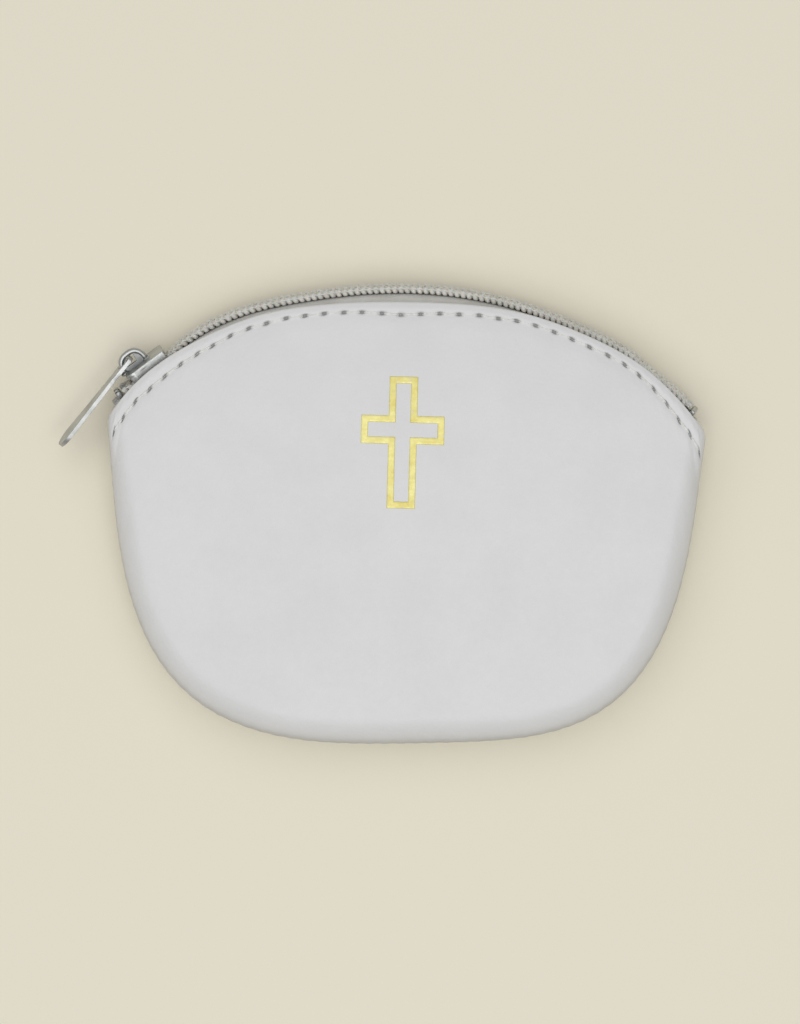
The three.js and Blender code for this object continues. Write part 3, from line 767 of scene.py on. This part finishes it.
def cross_outline(inset):
    """The cross's outline from the middle of its top edge, moved in by inset."""
    arm, post = CROSS_WIDTH / 2 - inset, CROSS_BAR / 2 - inset
    arm_top, arm_foot = -CROSS_ARM_DROP - inset, -CROSS_ARM_DROP - CROSS_BAR + inset
    right = [
        (post, -CROSS_HEIGHT + inset),
        (post, arm_foot),
        (arm, arm_foot),
        (arm, arm_top),
        (post, arm_top),
        (post, -inset),
    ]
    return np.array(right + [(-x, y) for x, y in reversed(right)], float)


def front_surface_z(x, y, seed):
    """Height of the front leather in its middle, where the cross is stamped."""
    height = panel_height(FRONT, 0, mouth_y(x) - y, CROWN_REACH + 0 * x, CROWN_REACH)
    z = SEAM_Z + SEAM_GAP / 2 + height * (1 - SEAM_GAP / 2 / BACK_RISE)
    points = np.stack([x, y, z], axis=-1)
    return z + soft_shape(points, FRONT, seed)


def gold_cross(name, seed):
    """A thin outline of foil that follows the leather, with slightly ragged edges."""
    outer, inner = cross_outline(0), cross_outline(CROSS_STROKE)
    rows = []
    for i in range(len(outer)):
        following = (i + 1) % len(outer)
        steps = max(2, int(np.linalg.norm(outer[following] - outer[i]) / 0.35))
        for s in np.arange(steps) / steps:
            start = outer[i] + (outer[following] - outer[i]) * s
            across = inner[i] + (inner[following] - inner[i]) * s - start
            rows.append([start + across * share for share in (0, 0.08, 0.3, 0.5, 0.7, 0.92, 1)])
    flat = np.array(rows) + [CROSS_X, CROSS_TOP_Y]
    ragged = 0.035 * soft_noise(np.concatenate([flat, 0 * flat[..., :1]], axis=2), 0.7, 3.0)
    flat = flat + ragged[..., None]
    z = front_surface_z(flat[..., 0], flat[..., 1], seed)
    lift = np.array([0.02, 0.05, 0.055, 0.05, 0.055, 0.05, 0.02])
    top = np.concatenate([flat, (z + lift)[..., None]], axis=2)
    under = np.concatenate([flat, (z - 0.06)[..., None]], axis=2)
    rings = np.concatenate([top, under[:, ::-1]], axis=1)
    return skin(name, rings, gold, caps=None, closed=True)


# ---- Slider and pull tab ----


def slider_outline(front_half, rear_half, front, rear):
    """A slider plate seen from outside: two round shoulders in front, narrower behind."""
    shoulder, corner, notch = 1.3, 0.6, 0.5
    ahead = arc((front + shoulder, front_half - shoulder), shoulder, 90, 180, 7)
    behind = arc((rear - corner, rear_half - corner), corner, 0, 80, 5)
    return ahead + [(front + notch, 0)] + mirrored(ahead) + mirrored(behind) + behind


def slider_casting():
    """Two plates with a flange on each side, joined by a nose post between the coils."""
    shape = bmesh.new()
    front, rear, half = SLIDER_FRONT, SLIDER_REAR, SLIDER_REAR_HALF
    outline = slider_outline(SLIDER_FRONT_HALF, half, front, rear)
    thin = (SLIDER_TOP - CHANNEL_TOP) * 0.6
    plate(shape, outline, SLIDER_BOTTOM, SLIDER_BOTTOM + thin)
    plate(shape, outline, SLIDER_TOP - thin, SLIDER_TOP)
    thicker = [(-0.2, half + 0.1), (rear - 0.25, half - 0.1)]
    for low, high in ((SLIDER_BOTTOM + 0.1, CHANNEL_BOTTOM), (CHANNEL_TOP, SLIDER_TOP - 0.1)):
        plate(shape, thicker + mirrored(thicker), low, high)
    outside = [
        (front + 0.5, SLIDER_FRONT_HALF - 0.25),
        (front + 1.4, SLIDER_FRONT_HALF + 0.03),
        (-0.6, half + 0.3),
        (rear - 0.1, half + 0.08),
    ]
    inside = [(x, z - FLANGE) for x, z in outside[::-1]]
    for low, high in ((SLIDER_BOTTOM + 0.05, SLOT_BOTTOM), (SLOT_TOP, SLIDER_TOP - 0.02)):
        for side in (-1, 1):
            flange = [(x, side * z) for x, z in outside + inside]
            plate(shape, flange[::side], low, high)
    nose = [(-3.4, 0), (-2.9, 0.35), (-1.6, 0.3), (-1.0, 0), (-1.6, -0.3), (-2.9, -0.35)]
    plate(shape, nose, CHANNEL_BOTTOM - 0.2, CHANNEL_TOP + 0.2)
    for side in (-1, 1):
        lug = arc((CROWN_X + side * (CROWN_HALF_LENGTH - 0.425), 0), 0.75, 0, 330, 12)
        plate(shape, lug, SLIDER_TOP - 0.2, SLIDER_TOP + 0.22)
    return metal_object("slider_casting", shape, SLIDER_FRAME, metal, voxel=0.09)


def lock_spring():
    """The flat spring that locks the slider: under the rail, then up inside the arch."""
    half = CROWN_HALF_LENGTH - 0.575
    front, rear = CROWN_X - half, CROWN_X + half
    low, under_rail = SLIDER_TOP - 0.1, PULL_RADIUS - 0.8
    outline = [
        (front, low),
        (front, under_rail - 0.2),
        (front + 0.3, under_rail),
        (RAIL_X + 0.7, under_rail),
        (RAIL_X + 0.85, PULL_RADIUS + 0.6),
        (rear - 0.9, PULL_RADIUS + 0.45),
        (rear - 0.25, PULL_RADIUS - 0.3),
        (rear, low),
    ]
    shape = bmesh.new()
    plate(shape, outline, -SPRING_HALF, SPRING_HALF)
    return metal_object("lock_spring", shape, SLIDER_FRAME @ turned(-90, "X"), shaded_steel, bevel=0.08)


def crown_arch():
    """The bail over the slider: a flat wire bent into an arch."""
    half, tall = CROWN_HALF_LENGTH - CROWN_BAR / 2, CROWN_HEIGHT - CROWN_BAR / 2
    angles = np.linspace(0, math.pi, 25)
    x = half * np.sign(np.cos(angles)) * np.abs(np.cos(angles)) ** 0.8
    y = tall * np.abs(np.sin(angles)) ** 0.75
    path = np.stack([CROWN_X + x, SLIDER_TOP + 0.05 + y, 0 * x], axis=1)
    away = tube_rings(path, (0, 0, 1), radius=1, sides=16) - path[:, None]
    rings = path[:, None] + away * [CROWN_BAR / 2, CROWN_BAR / 2, CROWN_HALF_WIDTH]
    rings = np.array([[SLIDER_FRAME @ Vector(p) for p in ring] for ring in rings])
    return tubes("crown_arch", [rings], metal)


def pull_blade():
    """The pull tab: a loop over the arch, a narrow neck and a rounded blade."""
    back, corner = PULL_RAIL / 2, 0.6
    upper = arc((back - corner, PULL_EYE_HALF - corner), corner, 0, 90, 5)
    upper += [
        (-PULL_EYE_END, PULL_EYE_HALF),
        (-PULL_EYE_END - 0.8, PULL_EYE_HALF - 0.06),
        (-PULL_EYE_END - 1.5, PULL_NECK_HALF + 0.06),
        (-PULL_EYE_END - 2.2, PULL_NECK_HALF),
    ]
    tip = arc((-PULL_LENGTH + PULL_TIP_HALF, 0), PULL_TIP_HALF, 90, 270, 17)
    outline = upper + tip + mirrored(upper)
    hole_half = PULL_EYE_HALF - PULL_RAIL
    eye = arc((-PULL_EYE_END + hole_half, 0), hole_half, 90, 270, 9)
    eye += [(-back, -hole_half), (-back, hole_half)]
    shape = bmesh.new()
    low, high = BLADE_LIFT - BLADE_THICKNESS / 2, BLADE_LIFT + BLADE_THICKNESS / 2
    plate(shape, outline, low, high, [eye])
    return metal_object("pull_blade", shape, PULL_FRAME, metal, bevel=0.18)


# ---- Materials ----


def linear(red, green, blue):
    """A colour given as it looks on screen, from 0 to 255."""
    parts = [c / 255 for c in (red, green, blue)]
    return tuple(c / 12.92 if c <= 0.04045 else ((c + 0.055) / 1.055) ** 2.4 for c in parts) + (1,)


class Finish:
    """A material round one Principled shader, with short names for the nodes used here."""

    def __init__(self, name, **sockets):
        self.material = bpy.data.materials.new(name)
        self.material.use_nodes = True
        self.tree = self.material.node_tree
        self.shader = self.tree.nodes["Principled BSDF"]
        for label, value in sockets.items():
            self.shader.inputs[label.replace("_", " ")].default_value = value
        coordinates = self.tree.nodes.new("ShaderNodeTexCoord")
        self.place = coordinates.outputs["Object"]

    def node(self, kind, inputs, output=0, **settings):
        """An output of a new node whose inputs are values or other nodes' outputs."""
        made = self.tree.nodes.new("ShaderNode" + kind)
        for label, value in settings.items():
            setattr(made, label, value)
        for label, value in inputs.items():
            if isinstance(value, bpy.types.NodeSocket):
                self.tree.links.new(value, made.inputs[label])
            else:
                made.inputs[label].default_value = value
        return made.outputs[output]

    def noise(self, size, detail=3, place=None):
        """Noise from 0 to 1 whose features are about size millimetres."""
        return self.node(
            "TexNoise", {"Vector": place or self.place, "Scale": 1 / (size * MM), "Detail": detail}
        )

    def cells(self, size, smooth=True):
        feature = "SMOOTH_F1" if smooth else "F1"
        return self.node(
            "TexVoronoi", {"Vector": self.place, "Scale": 1 / (size * MM)}, feature=feature
        )

    def span(self, value, low, high, to_low=0.0, to_high=1.0):
        return self.node(
            "MapRange",
            {"Value": value, "From Min": low, "From Max": high, "To Min": to_low, "To Max": to_high},
        )

    def vary(self, value, low, high):
        """A number that goes from low to high over the usual range of some noise."""
        return self.span(value, 0.3, 0.7, low, high)

    def math(self, operation, first, second=0.0):
        return self.node("Math", {0: first, 1: second}, operation=operation)

    def blend(self, factor, first, second):
        """A colour between two."""
        return self.node("Mix", {0: factor, 6: first, 7: second}, output=2, data_type="RGBA")

    def mottle(self, size, first, second, detail=3):
        """A colour that changes in soft patches of about size millimetres."""
        return self.blend(self.span(self.noise(size, detail), 0.35, 0.65), first, second)

    def mark(self, name):
        return self.node("Attribute", {}, output="Fac", attribute_name=name)

    def cloth(self):
        """The two distances in millimetres that the cloth pieces carry."""
        uv = self.node("UVMap", {}, uv_map="Cloth")
        return [self.node("SeparateXYZ", {0: uv}, output=i) for i in (0, 1)]

    def bump(self, height, distance, normal=None, strength=1.0):
        inputs = {"Height": height, "Distance": distance * MM, "Strength": strength}
        if normal is not None:
            inputs["Normal"] = normal
        return self.node("Bump", inputs)

    def use(self, **sockets):
        for label, value in sockets.items():
            self.tree.links.new(value, self.shader.inputs[label.replace("_", " ")])
        return self.material


def leather_finish():
    """White leather: fine pebbled grain, faint mottling, and painted shade in the needle holes and
    along the seam's crease.
    """
    finish = Finish("leather", Specular_IOR_Level=0.42, Coat_Weight=0.12, Coat_Roughness=0.35)
    mottled = finish.mottle(9, linear(225, 225, 225), linear(222, 222, 222), detail=4)
    # Painted shade: the colour darkens in the needle holes and along the seam's crease.
    holes = finish.span(finish.mark("hole"), 0.25, 0.85)
    hole_shaded = finish.blend(holes, mottled, linear(150, 151, 149))
    crease = finish.math("MULTIPLY", finish.mark("crease"), 0.5)
    seam_shaded = finish.blend(crease, hole_shaded, linear(150, 148, 142))
    grain = finish.math("ADD", finish.cells(0.55), finish.math("MULTIPLY", finish.noise(0.16), 0.5))
    fine = finish.bump(grain, 0.035)
    soft = finish.bump(finish.noise(3.2, 2), 0.06, fine)
    rough = finish.vary(finish.noise(1.2), 0.42, 0.56)
    return finish.use(Base_Color=seam_shaded, Roughness=rough, Normal=soft)


def woven_finish(name, base, shade, thread_gap, rib, roughness):
    """A plain weave whose cross threads are rib times as far apart as the others, with painted shade
    in the gaps between the threads.
    """
    finish = Finish(name, Sheen_Weight=0.25, Sheen_Roughness=0.5)
    along, across = finish.cloth()
    warp = finish.math("SINE", finish.math("MULTIPLY", along, 2 * math.pi / (thread_gap * rib)))
    weft = finish.math("SINE", finish.math("MULTIPLY", across, 2 * math.pi / thread_gap))
    weave = finish.math("MULTIPLY", warp, weft)
    fuzz = finish.noise(0.25)
    height = finish.math("ADD", weave, fuzz)
    mottled = finish.mottle(4, base, shade)
    # Painted shade darkens the colour in the gaps between the threads.
    gap_shaded = finish.blend(finish.span(weave, -0.2, -1.0, 0, 0.45), mottled, linear(120, 118, 110))
    rough = finish.vary(fuzz, roughness - 0.06, roughness + 0.04)
    return finish.use(Base_Color=gap_shaded, Roughness=rough, Normal=finish.bump(height, 0.05))


def nylon_finish():
    """Grey monofilament, a little translucent."""
    finish = Finish("nylon", Specular_IOR_Level=0.5, Subsurface_Weight=0.15, Subsurface_Scale=0.0004)
    tint = finish.mottle(2.5, linear(228, 227, 221), linear(206, 204, 195))
    rough = finish.vary(finish.noise(0.5), 0.34, 0.5)
    return finish.use(Base_Color=tint, Roughness=rough, Normal=finish.bump(finish.noise(0.2), 0.012))


def thread_finish():
    """Off-white thread with fine fibres."""
    finish = Finish("thread", Sheen_Weight=0.3, Sheen_Roughness=0.4)
    tint = finish.mottle(0.5, linear(236, 236, 233), linear(220, 219, 214))
    fibres = finish.noise(0.07, 2)
    rough = finish.vary(fibres, 0.62, 0.8)
    return finish.use(Base_Color=tint, Roughness=rough, Normal=finish.bump(fibres, 0.02))


def metal_finish(name, bright, dulled):
    """Plated metal with fine scratches, a little dulled and pitted."""
    finish = Finish(name, Metallic=1.0)
    dull = finish.span(finish.noise(2.6, 3), 0.35, 0.7)
    tint = finish.blend(dull, bright, dulled)
    stretched = finish.node("Mapping", {"Vector": finish.place, "Scale": (1, 0.12, 1)})
    scratches = finish.noise(0.12, 2, stretched)
    streaks = finish.math("MULTIPLY", scratches, 0.07)
    rough = finish.math("ADD", finish.span(dull, 0, 1, 0.36, 0.44), streaks)
    pits = finish.span(finish.cells(0.9, False), 0.0, 0.07)
    surface = finish.bump(pits, 0.006, finish.bump(scratches, 0.003))
    return finish.use(Base_Color=tint, Roughness=rough, Normal=surface)


def gold_finish():
    """Hot-stamped gold foil, rubbed through to the leather in small specks."""
    finish = Finish("gold")
    specks = finish.math("ADD", finish.noise(1.1, 4), finish.math("MULTIPLY", finish.noise(0.3), 0.25))
    worn = finish.span(specks, 0.78, 0.86)
    tone = finish.mottle(2.2, linear(235, 227, 152), linear(219, 205, 120))
    tint = finish.blend(worn, tone, linear(226, 222, 206))
    metallic = finish.span(worn, 0, 1, 0.35, 0.0)
    rough = finish.vary(finish.noise(0.6, 3), 0.34, 0.52)
    ripple = finish.bump(finish.noise(0.5), 0.02)
    return finish.use(Base_Color=tint, Metallic=metallic, Roughness=rough, Normal=ripple)


leather = leather_finish()
lining = woven_finish("lining", linear(226, 224, 216), linear(210, 207, 197), 0.42, 1.0, 0.85)
tape = woven_finish("tape", linear(228, 228, 225), linear(212, 211, 205), 0.5, 0.7, 0.8)
nylon = nylon_finish()
thread = thread_finish()
metal = metal_finish("metal", linear(190, 192, 191), linear(174, 176, 174))
# The lock spring's metal is darker than the plated metal: partly the spring's own duller steel, partly
# painted shade inside the arch.
shaded_steel = metal_finish("shaded_steel", linear(140, 142, 141), linear(124, 126, 125))
gold = gold_finish()


# ---- Assembly ----

HALVES = (("front", FRONT), ("back", BACK))
LEATHER_SEEDS, LINING_SEEDS = {FRONT: 11, BACK: 23}, {FRONT: 5, BACK: 8}

# The CAD cuts the front's pieces where the lip hinges: a panel in two, a strip in three.
PANEL_CUTS, STRIP_CUTS = ("", "_lip"), ("_left", "_lip", "_right")


def settle(piece, side, kind="", cuts=()):
    """The back rides the purse. The front stays where it is and rides no body."""
    if side == BACK:
        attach(piece, "purse")
    else:
        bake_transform(piece)
    if kind:
        nodes = [f"front_{kind}{cut}" for cut in cuts] if side == FRONT else [f"back_{kind}"]
        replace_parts(piece, *nodes)
    return piece


def add_shell():
    """The leather, its lining, and the thread that joins the two halves."""
    for half, side in HALVES:
        panel = leather_panel(half + "_leather", side, LEATHER_SEEDS[side])
        settle(panel, side, "panel", PANEL_CUTS)
    for half, side in HALVES:
        cloth = lining_panel(half + "_lining_cloth", side, LINING_SEEDS[side])
        settle(cloth, side, "lining", PANEL_CUTS)
    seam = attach(seam_stitching("seam_stitching"), "purse")
    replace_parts(seam, "seam_thread")


def add_zip():
    """The two halves of the zip and its three stops."""
    for half, side in HALVES:
        cloth = settle(zip_tape(half + "_zip_tape", side), side, "tape", STRIP_CUTS)
        coil = settle(zip_coil(half + "_zip_coil", side), side, "coil", STRIP_CUTS)
        sewing = settle(coil_sewing(half + "_coil_sewing", side), side)
    end = COIL_HALF_ANGLE + STOP_ANGLE
    for name, angle, low, high in (
        ("front_top", -end, COIL_HEAD + 0.1, COIL_FAR),
        ("back_top", -end, -COIL_FAR, -COIL_HEAD - 0.1),
        ("bottom", end, -COIL_FAR, COIL_FAR),
    ):
        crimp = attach(zip_stop(name + "_crimp", angle, low, high), "purse")
        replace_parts(crimp, name + "_stop")


def add_trim():
    """The rows of stitches along the mouth, and the cross."""
    for half, side in HALVES:
        row = top_stitching(half + "_top_stitching", side, LEATHER_SEEDS[side])
        settle(row, side, "stitch", STRIP_CUTS)
    foil = settle(gold_cross("foil_cross", LEATHER_SEEDS[FRONT]), FRONT)
    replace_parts(foil, "gold_cross")


def add_slider():
    for piece, body, node in (
        (slider_casting(), "slider", "slider_body"),
        (crown_arch(), "slider", "slider_crown"),
        (pull_blade(), "pull_tab", "pull_tab"),
    ):
        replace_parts(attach(piece, body), node)
    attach(lock_spring(), "slider")


# ---- Floor and light ----


def add_floor():
    half = 2.0
    corners = [(-half, -half, 0), (half, -half, 0), (half, half, 0), (-half, half, 0)]
    mesh = bpy.data.meshes.new("floor")
    mesh.from_pydata(corners, [], [(0, 1, 2, 3)])
    finish = Finish("floor", Roughness=0.6, Specular_IOR_Level=0.3)
    finish.shader.inputs["Base Color"].default_value = linear(238, 232, 213)
    mesh.materials.append(finish.material)
    linked("floor", mesh)


def add_softbox(name, place, size, radiance):
    data = bpy.data.lights.new(name, "AREA")
    data.shape, data.size, data.energy = "SQUARE", size, radiance * math.pi * size**2
    light = linked(name, data)
    light.location = place
    light.rotation_euler = (-Vector(place)).to_track_quat("-Z", "Y").to_euler()


def add_light():
    world = bpy.data.worlds.new("studio")
    world.use_nodes = True
    background = world.node_tree.nodes["Background"]
    background.inputs["Color"].default_value = (1.0, 1.0, 1.0, 1)
    background.inputs["Strength"].default_value = 0.34
    bpy.context.scene.world = world
    add_softbox("overhead", place=(-0.1, 0.1, 0.95), size=1.6, radiance=0.7)
    add_softbox("key", place=(0.05, -0.27, 0.84), size=0.6, radiance=1.6)
    bpy.context.scene.view_settings.view_transform = "Standard"


add_camera()
add_shell()
add_zip()
add_trim()
add_slider()
add_floor()
add_light()
